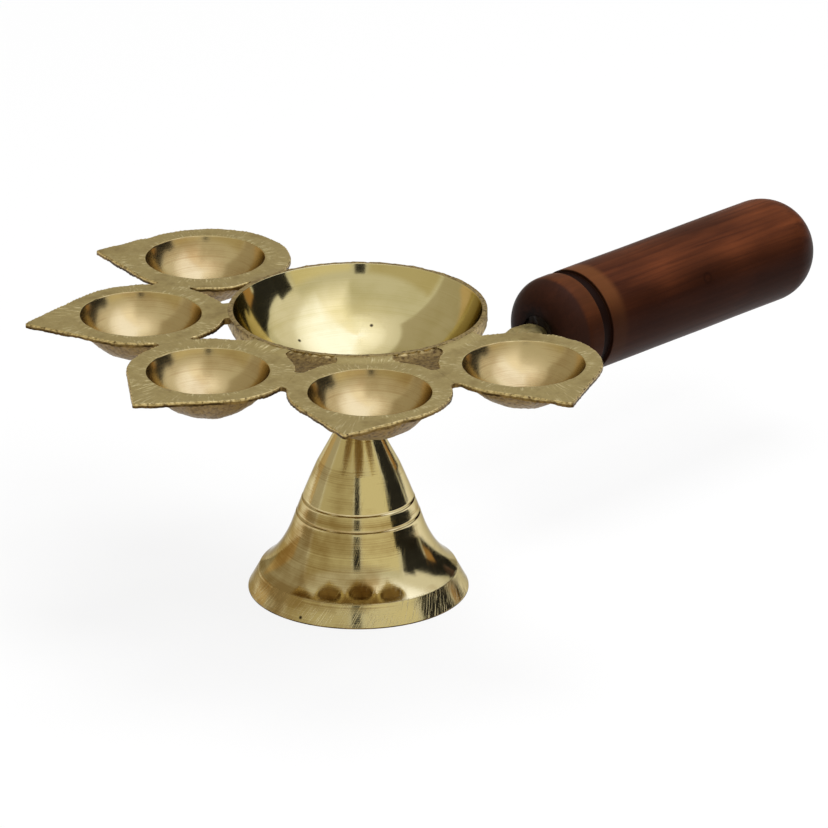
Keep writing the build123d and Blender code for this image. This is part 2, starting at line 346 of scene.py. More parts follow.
def turned_brass(name, clean, tarnish, smooth, coarse, line_depth_mm, scratch_depth_mm,
                 tarnish_way=(0, 0, 0), spread=0.6, pits=()):
    """Lathe-turned brass: mirror-like, with rings of tool marks round the axis that smear reflections along
    the profile, patches of thin tarnish that thicken in the direction given and where edge is high, small
    dark casting pits at the places given, and scratches that lean to one side. The rings stand further apart
    than a real tool leaves them, so that they show."""
    line_mm, line_group_mm, patch_mm = 0.5, 4.5, 13
    pit_mm, pit_core_mm = 0.75, 0.3
    scratch_mm, scratch_lean = (9, 0.3, 1), 62
    line_share, haze_share, patch_fade = 0.6, 0.12, 0.3
    made, tree, shader = finish_named(name, Metallic=1.0, Specular_Tint=colour("#BDB7A6"))
    place = add(tree, "TexCoord", out="Object")
    turning = add(tree, "UVMap", uv_map="turning")
    length = add(tree, "SeparateXYZ", {0: turning}, out="Y")
    lines = add(tree, "TexNoise", {"W": length, "Scale": 1 / line_mm, "Detail": 3.0, "Roughness": 0.6},
                noise_dimensions="1D")
    groups = add(tree, "TexNoise", {"W": length, "Scale": 1 / line_group_mm, "Detail": 2.0},
                 noise_dimensions="1D")
    marks = add(tree, "Math", {0: lines, 1: groups}, operation="MULTIPLY")
    cloud = add(tree, "TexNoise", {"Vector": place, "Scale": PER_MM / patch_mm, "Detail": 5.0})
    edge = add(tree, "Attribute", attribute_name="edge", out="Fac")
    hazed = add(tree, "Math", {0: edge, 1: haze_share, 2: cloud}, operation="MULTIPLY_ADD")
    lean = add(tree, "VectorMath", {0: place, 1: tarnish_way}, operation="DOT_PRODUCT", out="Value")
    tarnished = add(tree, "Math", {0: hazed, 1: lean}, operation="ADD")
    amount = add(tree, "Math", {0: marks, 1: line_share, 2: tarnished}, operation="MULTIPLY_ADD")
    patch = add(tree, "MapRange", {"Value": amount, "From Min": spread, "From Max": spread + patch_fade})
    tinted = add(tree, "Mix", {0: patch, 6: colour(clean), 7: colour(tarnish)}, data_type="RGBA", out=2)
    for pit in pits:
        away = add(tree, "VectorMath", {0: place, 1: np.array(pit) * MM}, operation="DISTANCE", out="Value")
        spot = add(tree, "MapRange", {"Value": away, "From Min": pit_mm * MM, "From Max": pit_core_mm * MM})
        tinted = add(tree, "Mix", {0: spot, 6: tinted, 7: colour("#3A2E1C")}, data_type="RGBA", out=2)
    tree.links.new(tinted, shader.inputs["Base Color"])
    gloss = add(tree, "MapRange", {"Value": marks, "From Min": 0.1, "From Max": 0.45, "To Min": smooth,
                                   "To Max": coarse})
    tree.links.new(gloss, shader.inputs["Roughness"])
    girth = 2 * math.pi * foot_radius
    unrolled = add(tree, "VectorMath", {0: turning, 1: (girth, 1, 0)}, operation="MULTIPLY")
    slant = add(tree, "Mapping", {"Vector": unrolled, "Rotation": (0, 0, math.radians(scratch_lean)),
                                  "Scale": scratch_mm}, vector_type="TEXTURE")
    strokes = add(tree, "TexNoise", {"Vector": slant, "Scale": 1.0, "Detail": 2.0})
    scratch = add(tree, "MapRange", {"Value": strokes, "From Min": 0.58, "From Max": 0.72})
    ringed = add(tree, "Bump", {"Height": lines, "Distance": line_depth_mm * MM})
    bump = add(tree, "Bump", {"Height": scratch, "Distance": scratch_depth_mm * MM, "Normal": ringed},
               invert=True)
    tree.links.new(bump, shader.inputs["Normal"])
    return made


def filed_brass():
    """Flanges and tang dressed with a file: dull olive yellow with a fine grain, and short bright strokes
    across the border in patches, most of them where edge is 1."""
    strokes_round, stroke_mm, stroke_height_mm = 230, 4, 0.12
    grain_mm, grain_depth_mm, patch_mm = 0.9, 0.06, 9
    edge_share = 0.1
    made, tree, shader = finish_named("filed_brass", Metallic=1.0)
    place = add(tree, "TexCoord", out="Object")
    turning = add(tree, "UVMap", uv_map="turning")
    across = add(tree, "Mapping", {"Vector": turning, "Scale": (strokes_round, 1 / stroke_mm, 1)})
    strokes = add(tree, "TexNoise", {"Vector": across, "Scale": 1.0, "Detail": 2.0})
    grain = add(tree, "TexNoise", {"Vector": place, "Scale": PER_MM / grain_mm, "Detail": 4.0,
                                   "Roughness": 0.7})
    cloud = add(tree, "TexNoise", {"Vector": place, "Scale": PER_MM / patch_mm, "Detail": 5.0,
                                   "Roughness": 0.6})
    edge = add(tree, "Attribute", attribute_name="edge", out="Fac")
    rimmed = add(tree, "Math", {0: edge, 1: edge_share, 2: cloud}, operation="MULTIPLY_ADD")
    where = add(tree, "MapRange", {"Value": rimmed, "From Min": 0.48, "From Max": 0.62})
    stroke = add(tree, "MapRange", {"Value": strokes, "From Min": 0.53, "From Max": 0.66})
    bright = add(tree, "Math", {0: stroke, 1: where}, operation="MULTIPLY")
    base = add(tree, "Mix", {0: grain, 6: colour("#A99459"), 7: colour("#D3C189")}, data_type="RGBA", out=2)
    worn = add(tree, "MapRange", {"Value": cloud, "From Min": 0.46, "From Max": 0.3, "To Max": 0.6})
    dulled = add(tree, "Mix", {0: worn, 6: base, 7: colour("#987F4A")}, data_type="RGBA", out=2)
    tinted = add(tree, "Mix", {0: bright, 6: dulled, 7: colour("#E8D9A6")}, data_type="RGBA", out=2)
    tree.links.new(tinted, shader.inputs["Base Color"])
    gloss = add(tree, "MapRange", {"Value": grain, "To Min": 0.36, "To Max": 0.58})
    tree.links.new(gloss, shader.inputs["Roughness"])
    pores = add(tree, "Bump", {"Height": grain, "Distance": grain_depth_mm * MM})
    bump = add(tree, "Bump", {"Height": bright, "Distance": stroke_height_mm * MM, "Normal": pores})
    tree.links.new(bump, shader.inputs["Normal"])
    return made


def cast_brass():
    """Sand-cast brass as it left the mould: brown-gold and satin, darker in its pits, brighter where edge
    is above 0 and worn, and darkened in patches with painted shade where edge is below 0: on the leaves'
    border walls and at the bell's foot lip, where shade falls."""
    grain_mm, grain_depth_mm, patch_mm = 1.3, 0.15, 7
    shade_share = 0.85
    made, tree, shader = finish_named("sand_cast_brass", Metallic=1.0)
    place = add(tree, "TexCoord", out="Object")
    grain = add(tree, "TexNoise", {"Vector": place, "Scale": PER_MM / grain_mm, "Detail": 5.0,
                                   "Roughness": 0.65})
    cloud = add(tree, "TexNoise", {"Vector": place, "Scale": PER_MM / patch_mm, "Detail": 3.0})
    pits = add(tree, "MapRange", {"Value": grain, "From Min": 0.32, "From Max": 0.55})
    tone = add(tree, "Mix", {0: cloud, 6: colour("#72592F"), 7: colour("#9C814C")}, data_type="RGBA", out=2)
    pitted = add(tree, "Mix", {0: pits, 6: colour("#5A452A"), 7: tone}, data_type="RGBA", out=2)
    edge = add(tree, "Attribute", attribute_name="edge", out="Fac")
    worn = add(tree, "Math", {0: edge, 1: pits}, operation="MULTIPLY")
    bright = add(tree, "Mix", {0: worn, 6: pitted, 7: colour("#E0C98E")}, data_type="RGBA", out=2)
    # Painted shade: where edge is below 0, patches are darkened to near black.
    patch = add(tree, "MapRange", {"Value": cloud, "From Min": 0.4, "From Max": 0.56, "To Max": -shade_share})
    painted_shade = add(tree, "Math", {0: edge, 1: patch}, operation="MULTIPLY")
    tinted = add(tree, "Mix", {0: painted_shade, 6: bright, 7: colour("#2A1C0E")}, data_type="RGBA", out=2)
    tree.links.new(tinted, shader.inputs["Base Color"])
    gloss = add(tree, "MapRange", {"Value": grain, "To Min": 0.55, "To Max": 0.34})
    tree.links.new(gloss, shader.inputs["Roughness"])
    bump = add(tree, "Bump", {"Height": grain, "Distance": grain_depth_mm * MM})
    tree.links.new(bump, shader.inputs["Normal"])
    return made


def lacquered_wood():
    """Close-grained wood turned smooth under a dark red-brown lacquer: streaks along the grain, cloudy
    lacquer, one knot in a dark halo, one side darkened with painted shade and some smoke, rubbed lighter on
    both sides of the groove, more so on the grip's side, painted shade deep in the groove, and a fumed front
    that is charred round the mouth. The streaks are wider than real pores, so that they show."""
    streak_mm, streak_depth_mm, patch_mm = (60, 1.8, 1.8), 0.04, (45, 14, 14)
    knot_ring_mm, knot_line_mm, knot_core_mm = 1.6, 0.7, 0.2
    halo_mm, halo_core_mm = 18, 3
    rubbed_mm, rubbed_core_mm = 10.5, 7
    front_mm, front_core_mm = -8, -9.5
    flicker_mm, char_mm, char_core_mm = 3, 6, 3
    shaded_way = (0, -0.95, -0.3)
    groove = (handle_low[0] + groove_setback) * MM
    made, tree, shader = finish_named("lacquered_wood", Specular_IOR_Level=0.035)
    place = add(tree, "TexCoord", out="Object")
    drawn = add(tree, "Mapping", {"Vector": place, "Scale": np.array(streak_mm) * MM}, vector_type="TEXTURE")
    streaks = add(tree, "TexNoise", {"Vector": drawn, "Scale": 1.0, "Detail": 6.0, "Roughness": 0.62,
                                     "Distortion": 0.4})
    wide = add(tree, "Mapping", {"Vector": place, "Scale": np.array(patch_mm) * MM}, vector_type="TEXTURE")
    cloud = add(tree, "TexNoise", {"Vector": wide, "Scale": 1.0, "Detail": 3.0})
    patch = add(tree, "MapRange", {"Value": cloud, "From Min": 0.36, "From Max": 0.66})
    base = add(tree, "Mix", {0: patch, 6: colour("#381B0E"), 7: colour("#5B2F19")}, data_type="RGBA", out=2)
    line = add(tree, "MapRange", {"Value": streaks, "From Min": 0.4, "From Max": 0.66, "To Max": 0.56})
    grained = add(tree, "Mix", {0: line, 6: base, 7: colour("#220E09")}, data_type="RGBA", out=2)
    from_knot = add(tree, "VectorMath", {0: place, 1: np.array(knot_place) * MM}, operation="DISTANCE",
                    out="Value")
    halo = add(tree, "MapRange", {"Value": from_knot, "From Min": halo_mm * MM,
                                  "From Max": halo_core_mm * MM, "To Max": 0.6})
    smudged = add(tree, "Mix", {0: halo, 6: grained, 7: colour("#1D0D07")}, data_type="RGBA", out=2)
    past_ring = add(tree, "Math", {0: from_knot, 1: knot_ring_mm * MM}, operation="SUBTRACT")
    off_ring = add(tree, "Math", {0: past_ring}, operation="ABSOLUTE")
    ring = add(tree, "MapRange", {"Value": off_ring, "From Min": knot_line_mm * MM,
                                  "From Max": knot_core_mm * MM, "To Max": 0.6})
    knotted = add(tree, "Mix", {0: ring, 6: smudged, 7: colour("#150805")}, data_type="RGBA", out=2)
    along = add(tree, "SeparateXYZ", {0: place}, out="X")
    past_groove = add(tree, "Math", {0: along, 1: groove}, operation="SUBTRACT")
    off_groove = add(tree, "Math", {0: past_groove}, operation="ABSOLUTE")
    rubbed = add(tree, "MapRange", {"Value": off_groove, "From Min": rubbed_mm * MM,
                                    "From Max": rubbed_core_mm * MM, "To Max": 0.7},
                 interpolation_type="SMOOTHSTEP")
    behind = add(tree, "MapRange", {"Value": past_groove, "From Min": -groove_width * MM,
                                    "From Max": groove_width * MM, "To Min": 0.35})
    handled = add(tree, "Math", {0: rubbed, 1: behind}, operation="MULTIPLY")
    banded = add(tree, "Mix", {0: handled, 6: knotted, 7: colour("#5E381D")}, data_type="RGBA", out=2)
    from_axis = add(tree, "Mapping", {"Vector": place, "Location": (0, 0, -axis_z * MM), "Scale": (0, 1, 1)})
    # Painted shade, with some smoke: the side facing down and towards -Y is darkened.
    facing = add(tree, "VectorMath", {0: from_axis, 1: shaded_way}, operation="DOT_PRODUCT", out="Value")
    side_shade = add(tree, "MapRange", {"Value": facing, "From Min": 0.4 * handle_radius * MM,
                                    "From Max": 0.9 * handle_radius * MM, "To Max": 0.78},
                 interpolation_type="SMOOTHSTEP")
    shaded = add(tree, "Mix", {0: side_shade, 6: banded, 7: colour("#200C05")}, data_type="RGBA", out=2)
    # Painted shade: the groove's floor is painted near black.
    groove_shade = add(tree, "MapRange", {"Value": off_groove, "From Min": 0.6 * groove_width * MM,
                                  "From Max": 0.45 * groove_width * MM})
    groove_shaded = add(tree, "Mix", {0: groove_shade, 6: shaded, 7: colour("#150A07")}, data_type="RGBA", out=2)
    fronted = add(tree, "MapRange", {"Value": past_groove, "From Min": front_mm * MM,
                                     "From Max": front_core_mm * MM, "To Max": 0.85},
                  interpolation_type="SMOOTHSTEP")
    fumed = add(tree, "Mix", {0: fronted, 6: groove_shaded, 7: colour("#271610")}, data_type="RGBA", out=2)
    from_centre = add(tree, "VectorMath", {0: from_axis}, operation="LENGTH", out="Value")
    flicker = add(tree, "TexNoise", {"Vector": place, "Scale": PER_MM / flicker_mm, "Detail": 3.0})
    ragged = add(tree, "Math", {0: flicker, 1: char_mm * MM, 2: from_centre}, operation="MULTIPLY_ADD")
    burnt = add(tree, "MapRange", {"Value": ragged, "From Min": (lac_radius + char_mm) * MM,
                                   "From Max": (lac_radius + char_core_mm) * MM})
    at_mouth = add(tree, "Math", {0: burnt, 1: fronted}, operation="MULTIPLY")
    charred = add(tree, "Mix", {0: at_mouth, 6: fumed, 7: colour("#0E0907")}, data_type="RGBA", out=2)
    tree.links.new(charred, shader.inputs["Base Color"])
    gloss = add(tree, "MapRange", {"Value": streaks, "To Min": 0.32, "To Max": 0.5})
    tree.links.new(gloss, shader.inputs["Roughness"])
    bump = add(tree, "Bump", {"Height": streaks, "Distance": streak_depth_mm * MM})
    tree.links.new(bump, shader.inputs["Normal"])
    return made


def black_lac():
    """Shellac resin run hot round the tang: nearly black, lumpy, with dull and glassy spots."""
    lump_mm, lump_height_mm = 1.8, 0.35
    made, tree, shader = finish_named("black_lac", Specular_IOR_Level=0.15)
    place = add(tree, "TexCoord", out="Object")
    lumps = add(tree, "TexNoise", {"Vector": place, "Scale": PER_MM / lump_mm, "Detail": 4.0})
    tinted = add(tree, "Mix", {0: lumps, 6: colour("#0B0806"), 7: colour("#2A1D15")}, data_type="RGBA",
                 out=2)
    tree.links.new(tinted, shader.inputs["Base Color"])
    gloss = add(tree, "MapRange", {"Value": lumps, "To Min": 0.35, "To Max": 0.85})
    tree.links.new(gloss, shader.inputs["Roughness"])
    bump = add(tree, "Bump", {"Height": lumps, "Distance": lump_height_mm * MM})
    tree.links.new(bump, shader.inputs["Normal"])
    return made


# Tarnish share gained per metre towards the bell's lower left
bell_tarnish_way = -6 * to_right - 4 * upward
foot_pit = (-34.0, -7.9, 1.6)
bowl_pits = ((22.3, 16.1, 79.4), (-0.8, 25.7, 78.0))

polished = turned_brass("polished_turned_brass", "#E3D3A4", "#AE9360", smooth=0.05, coarse=0.16,
                        line_depth_mm=0.012, scratch_depth_mm=0.004, tarnish_way=bell_tarnish_way, spread=0.52)
scuffed = turned_brass("scuffed_foot_brass", "#E3D3A4", "#AE9360", smooth=0.1, coarse=0.24,
                       line_depth_mm=0.012, scratch_depth_mm=0.07, tarnish_way=bell_tarnish_way, pits=[foot_pit])
bowl_polish = turned_brass("polished_bowl_brass", "#E7D8A6", "#D8C88F", smooth=0.06, coarse=0.13,
                           line_depth_mm=0.0015, scratch_depth_mm=0.001, pits=bowl_pits)
brushed = turned_brass("brushed_cup_brass", "#D3BC8B", "#B99A69", smooth=0.15, coarse=0.27,
                       line_depth_mm=0.006, scratch_depth_mm=0.002)
plain_rod = turned_brass("plain_rod_brass", "#C9B177", "#9C8450", smooth=0.25, coarse=0.4,
                         line_depth_mm=0.01, scratch_depth_mm=0.004)
filed = filed_brass()
cast = cast_brass()
wood = lacquered_wood()
lac = black_lac()


def engraving(height):
    """Radius change by height: two cut lines, each a bell-shaped dip with a small raised burr below it."""
    burr_drop = 2.2 * engraved_width
    depth, burr = 0, 0
    for line in engraved_heights:
        depth = depth + engraved_depth * np.exp(-(((height - line) / engraved_width) ** 2))
        burr = burr + burr_height * np.exp(-(((height - line + burr_drop) / engraved_width) ** 2))
    return burr - depth


def turned_bell():
    """Pedestal bell: one closed profile, down the outside from the bored crown to the foot and up the
    hollow. From the foot's lip inwards it is left as cast, with painted shade darkening the lip as a contact
    shadow, and haze lies on the cone's lower half."""
    bore = stud_radius + thread_clearance
    foot_inside = (foot_radius - bell_wall, 0)
    cone = bow((cone_radius, cone_top), (cove_radius, cove_top), cone_swell, count=240)
    cone[:, 0] += engraving(cone[:, 1])
    cove = pulled((cove_radius, cove_top), cove_pull, (band_radius, band_top), count=40)
    upper = eased([(bore, bell_top), (crown_radius, bell_top), cone, cove, band_edge], ease=0.2, count=160)
    band = eased([band_edge, (foot_radius, foot_lip), (foot_radius, 0), foot_inside], ease=0.2, count=30)
    inner_cove = cove[::-1] - [bell_wall, 0]
    inside = eased([foot_inside, inner_cove, (cone_radius - bell_wall, cone_top),
                    (hollow_radius, hollow_top), (bore, hollow_top), (bore, bell_top)], ease=0.3, count=60)
    rings = lathe(np.vstack([upper, band[1:], inside[1:-1]]), around=256)
    rings[..., :2] *= 1 + 0.0006 * ripple(rings, wave=30)[..., None]
    band_ring = len(upper) - 8
    lip_ring = len(upper) - 2 + np.argmax(band[:, 1] < foot_lip)
    height = rings[..., 2]
    haze_start, haze_full = cove_top - 3, cove_top + 1
    haze_wane, haze_end = max(engraved_heights) - 2, max(engraved_heights) + 1
    edge = smoothstep(height, haze_start, haze_full) * (1 - smoothstep(height, haze_wane, haze_end))
    # Painted contact shadow: edge -1 darkens the foot's lip and underside in patches.
    edge[lip_ring : len(upper) + len(band)] = -1
    starts = (0, band_ring, lip_ring)
    return skin("turned_bell", rings, [polished, scuffed, cast], starts, loop=True, edge=edge)


def threaded(radius, low, high):
    """Rings of a screw round Z: the radius less thread_depth times a cosine of height over pitch less turn,
    tapered at both ends."""
    rings_per_pitch, around = 12, 48
    end_taper = 0.7
    height = np.linspace(low, high, int((high - low) / thread_pitch * rings_per_pitch))[:, None]
    turn = np.arange(around) / around
    cut = thread_depth * (0.5 - 0.5 * np.cos(2 * np.pi * (height / thread_pitch - turn)))
    taper = np.minimum(height - low, high - height)
    reach = np.minimum(radius - cut, radius - end_taper + taper)
    angle = 2 * np.pi * turn
    return np.stack([reach * np.cos(angle), reach * np.sin(angle), height + 0 * angle], -1)


def threaded_stud():
    """The screw between crown and hub."""
    return skin("threaded_stud", threaded(stud_radius, stud_low[2], stud_high[2]), [plain_rod])


def polished_bowl():
    """Bowl with its hub: inside from the bottom to the rim, over the rim, down the cast outside, round the
    hub and up the stud's bore. A flat is faced on the hub where the tang seats."""
    bottom = rim_z - bowl_outer_depth
    hub_low = bowl_low[2]
    inner = dome(bottom + bowl_wall, (rim_radius - rim_land, rim_z), count=90)[1:]
    outer = dome(bottom, (rim_radius, rim_z - rim_band), count=90)[::-1]
    outer = outer[outer[:, 0] > hub_radius]
    quarter = np.linspace(0, np.pi / 2, 8)
    corner = np.stack([hub_radius - hub_round * (1 - np.cos(quarter)),
                       hub_low + hub_round * (1 - np.sin(quarter))], -1)
    bore = stud_radius + thread_clearance
    roof = bottom - hub_roof + hole_bottom_gap
    brow = (rim_radius, rim_z - rim_brow)
    inside = inner[:-2]
    over = eased([inner[-3], inner[-1], (rim_radius, rim_z), brow], ease=0.25, count=26)
    under = eased([brow, outer, corner, (bore, hub_low), (bore, roof), (pole_radius, roof)],
                  ease=0.4, count=90)
    rings = lathe(np.vstack([inside, over[1:], under[1:]]), around=320)
    cast_ring = len(inside) + 6
    land_ring = len(inside) + 8
    outside = len(inside) + len(over)
    rough = rings[outside:]
    grain = 0.1 * ripple(rough, wave=4) + 0.04 * ripple(rough, wave=1.6)
    fade = smoothstep(rough[..., 2], hub_low + 8, hub_low + 16)
    rough[..., :2] *= 1 + (grain * fade / rim_radius)[..., None]
    seat = hub_radius - spot_face_depth
    off_axis = np.hypot(rough[..., 1], rough[..., 2] - axis_z)
    faced = (off_axis < spot_face_radius) & (rough[..., 0] > seat)
    rough[..., 0] = np.where(faced, seat, rough[..., 0])
    land = rings[land_ring:outside]
    land += (0.05 * ripple(land, wave=1.8) + 0.05 * ripple(land, wave=5))[..., None] * [0, 0, 1]
    edge = np.zeros(rings.shape[:2])
    edge[land_ring : outside + 2] = rim_wear
    return skin("polished_bowl", rings, [bowl_polish, cast], (0, cast_ring), edge=edge)


def leaf_angle(number):
    """Direction of a leaf's centre seen from the bowl."""
    return fan_direction + (number - (leaf_count + 1) / 2) * leaf_spacing


def tip_angle(number):
    """Direction of a leaf's tip, which leans towards the middle leaf and was bent a little aside."""
    even = fan_direction + (number - (leaf_count + 1) / 2) * leaf_spacing * tip_turn_ratio
    return even + tip_leans[number - 1]


def leave(start, rays, centre, radius):
    """How far along each ray from start a circle is left, or minus infinity where the ray misses it."""
    ahead = (centre - start) @ rays
    room = ahead**2 - np.sum((centre - start) ** 2, -1)[..., None] + np.asarray(radius)[..., None] ** 2
    return np.where(room >= 0, ahead + np.sqrt(np.maximum(room, 0)), -np.inf)


def enter(start, rays, centre, radius):
    """How far along each ray from start a circle is met, or infinity where it isn't."""
    ahead = (centre - start) @ rays
    room = ahead**2 - np.sum((centre - start) ** 2) + radius**2
    return np.where((room >= 0) & (ahead > 0), ahead - np.sqrt(np.maximum(room, 0)), np.inf)


def reach_plane(start, rays, outward):
    """How far along each ray from start the upright plane through the bowl's axis that faces outward is
    met, or infinity where the ray runs beside it."""
    facing = outward @ rays
    return np.where(facing > tiny, -(start @ outward) / np.maximum(facing, tiny), np.inf)


def between(turn, start, first, second):
    """Whether each direction lies in the narrow angle between two points seen from start."""
    low, high = (np.arctan2(*(point - start)[::-1]) for point in (first, second))
    wide = (high - low + np.pi) % (2 * np.pi) - np.pi
    past = (turn - low + np.pi) % (2 * np.pi) - np.pi
    return (past * np.sign(wide) >= 0) & (np.abs(past) <= abs(wide))


def beside_hole(number, side):
    """Whether the gap on one side of a leaf is an open hole, as between the first three leaves."""
    return 1 <= min(number, number + side) < first_web


def bowl_corner(number, side):
    """Centre and radius of the fillet between the bowl's rim and one side of a leaf's circle."""
    fillet = hole_fillet if beside_hole(number, side) else bowl_neck_fillet
    bowl_side, leaf_side = rim_radius + fillet, leaf_radius + fillet
    cosine = (bowl_side**2 + leaf_distance**2 - leaf_side**2) / (2 * bowl_side * leaf_distance)
    return polar(bowl_side, leaf_angle(number) + side * math.degrees(math.acos(cosine))), fillet


def leaf_corner(number, side, way):
    """Centre and radius of the fillet between two leaves: on the bowl's side at way -1, outside at way
    1."""
    fillet = hole_fillet if way < 0 and beside_hole(number, side) else neck_fillet
    offset = math.sqrt((leaf_radius + fillet) ** 2 - (leaf_radius + leaf_gap / 2) ** 2)
    return polar(neck_distance + way * offset, leaf_angle(number) + side * leaf_spacing / 2), fillet


def beyond_rim(plan):
    """Distance in plan outward from the bowl's rim."""
    return np.hypot(plan[..., 0], plan[..., 1]) - rim_radius


def neck_rise(plan):
    """Height gained near the bowl, where necks and webs climb to its rim in an S-shaped slope."""
    return (rim_z - leaf_z - neck_step) * (1 - smoothstep(beyond_rim(plan), 0, neck_rise_length))


def leaf_outline(number, turn):
    """Distance from the cup's centre to the leaf's border by direction, and how free that border is: 1 at
    the blade and low at a neck. The blade is a circle that shrinks as it slides to the tip. Necks run out
    to the cut half way to the next leaf, and to the bowl's rim, between round fillets."""
    slides, window_reach, least_free = 240, 8, 0.05
    angle = leaf_angle(number)
    start = polar(cup_distance, angle)
    rays = np.stack([np.cos(turn), np.sin(turn)])
    slide = np.linspace(0, 1, slides)
    tip = polar(tip_distance - tip_wears[number - 1], tip_angle(number))
    centres = polar(leaf_distance, angle) + slide[:, None] * tip
    round_end = leaf_radius + blade_growths[number - 1]
    border = leave(start, rays, centres, round_end + slide * (tip_radius - round_end)).max(0)
    rim = enter(start, rays, np.zeros(2), rim_radius)
    necks = [(rim, [bowl_corner(number, side) for side in (-1, 1)])]
    for side in (-1, 1):
        if 1 <= number + side <= leaf_count:
            plane = reach_plane(start, rays, side * polar(1, angle + side * leaf_spacing / 2 + 90))
            necks.append((plane, [leaf_corner(number, side, way) for way in (-1, 1)]))
    for stop, corners in necks:
        neck = np.minimum.reduce([stop] + [enter(start, rays, *corner) for corner in corners])
        inside = between(turn, start, corners[0][0], corners[1][0])
        border = np.where(inside, np.maximum(border, neck), border)
    stop = np.minimum.reduce([stop for stop, corners in necks])
    border = np.minimum(border, stop)
    held = (stop - border < tiny).astype(float)
    window = np.ones(window_reach + 1) / (window_reach + 1)
    wrapped = np.concatenate([held[-window_reach:], held, held[:window_reach]])
    spread = np.convolve(wrapped, window, "same")[window_reach:-window_reach]
    return border, np.clip(1 - 2 * spread, least_free, 1)


def leaf_cup(number):
    """Leaf cup as rings about the cup's centre: cup inside, lip, filed flange, rounded cast border, filed
    underside and cast cup outside. Unevenness depends on the place in the frame, so that neighbouring
    leaves meet at their cuts."""
    around, lip_points = 600, 4
    turn = math.radians(tip_angle(number)) + np.arange(around) * 2 * np.pi / around
    ways = np.stack([np.cos(turn), np.sin(turn)], -1)
    border, free = leaf_outline(number, turn)
    start = polar(cup_distance, leaf_angle(number))
    spot = start + border[:, None] * ways
    border = border + free * (0.05 * ripple(spot, wave=9) + 0.025 * ripple(spot, wave=2))
    cup_bottom = leaf_z - cup_depth + cup_fills[number - 1]
    cup_outside = cup_radius + cup_wall
    cup = dome(cup_bottom, (cup_radius, leaf_z), count=34)[1:]
    lip = eased([cup[-lip_points:], (cup_radius + 3 * lip_round, leaf_z)], lip_round, count=14)
    inner = np.vstack([cup[:-lip_points], lip])
    outer = dome(cup_bottom - cup_wall, (cup_outside, flange_under_z), count=26)[::-1][:-1]
    soft = border_round * free
    out = np.linspace(0, 1, 13)[1:, None]
    top = np.stack([inner[-1, 0] + out * (border - soft - inner[-1, 0]), leaf_z + 0 * out * border], -1)
    bend = np.linspace(0, np.pi / 2, 5)[1:, None]
    brow = np.stack([border - soft * (1 - np.sin(bend)), leaf_z - soft * (1 - np.cos(bend))], -1)
    fall = np.linspace(0, 1, 5)[1:, None]
    side = np.stack([border + 0 * fall, leaf_z - soft - fall * (leaf_z - flange_under_z - soft)], -1)
    back = np.linspace(0, 1, 9)[1:, None]
    under_end = cup_outside + cup_fillet
    under = np.stack([border + back * (under_end - border), flange_under_z + 0 * back * border], -1)
    inside = np.broadcast_to(inner[:, None], (len(inner), around, 2))
    outside = np.broadcast_to(outer[:, None], (len(outer), around, 2))
    shape = np.concatenate([inside, top, brow, side, under, outside])
    plan = start + shape[..., :1] * ways
    rings = np.concatenate([plan, shape[..., 1:]], -1)
    flange_ring = len(inner) - len(lip) // 2
    brow_ring = len(inner) + len(top)
    side_ring = brow_ring + len(brow)
    under_ring = side_ring + len(side)
    near_top = np.clip((shape[..., 1] - flange_under_z) / (leaf_z - flange_under_z), 0, 1)
    rings[..., 2] += near_top * neck_rise(plan)
    rings[flange_ring:, :, 2] += 0.04 * ripple(plan[flange_ring:], wave=9)
    rough = np.ones(shape.shape[:2])
    rough[:side_ring] = 0
    rough[side_ring:under_ring] = free
    rings[..., 2] += rough * (0.05 * ripple(plan, wave=1.8) + 0.1 * ripple(rings, wave=7))
    rings[brow_ring:side_ring, :, 2] += 0.07 * free * ripple(plan[brow_ring:side_ring], wave=1.5)
    edge = np.zeros(shape.shape[:2])
    edge[flange_ring : len(inner)] = 1
    edge[brow_ring - 1 : side_ring] = free
    # Painted shade: the border's upright wall is darkened in patches, below 0, where shade falls on it.
    edge[side_ring + 1 : under_ring] = -free
    starts = (0, flange_ring, brow_ring - 1, under_ring, under_ring + len(under))
    return skin(f"leaf_cup_{number}_dressed", rings, [brushed, filed, cast, filed, cast], starts, edge=edge)


def cast_web(name, number):
    """Rough skin between two leaves and the bowl: rings about its middle out to the nearest of the bowl's
    rim, the two leaves' circles and the neck's end, with a lumpy top that is worn bright along the rim."""
    around, middle_share = 240, 0.04
    turn = np.arange(around) * 2 * np.pi / around
    rays = np.stack([np.cos(turn), np.sin(turn)])
    corner, fillet = leaf_corner(number, 1, -1)
    reach = np.hypot(*corner) + fillet + web_lap
    start = polar((rim_radius + reach) / 2, leaf_angle(number) + leaf_spacing / 2)
    walls = [enter(start, rays, np.zeros(2), rim_radius), leave(start, rays, np.zeros(2), np.array(reach))]
    for side in (0, 1):
        angle = leaf_angle(number + side)
        walls.append(enter(start, rays, polar(leaf_distance, angle), leaf_radius - web_lap))
        walls.append(reach_plane(start, rays, (2 * side - 1) * polar(1, angle + 90)))
    border = np.minimum.reduce(walls)
    top, bottom = np.linspace(middle_share, 1, 22), np.linspace(1, middle_share, 8)
    share = np.concatenate([top, bottom])[:, None]
    height = np.concatenate([np.full(len(top), web_high[2] + web_fill), np.full(len(bottom), web_low[2])])
    plan = start + (share * border)[..., None] * rays.T
    rings = np.concatenate([plan, np.broadcast_to(height[:, None], plan.shape[:2])[..., None]], -1)
    near_rim = 1 - smoothstep(beyond_rim(plan), 0.3, 1.6)
    hollow = 0.2 * (1 - share**2)
    lumps = (0.03 + 0.12 * near_rim) * ripple(plan, wave=2.2) + 0.02 * ripple(plan, wave=1.1) - hollow
    rings[: len(top), :, 2] += (neck_rise(plan) + lumps)[: len(top)]
    return skin(name, rings, [cast], edge=web_wear + web_rim_wear * near_rim)


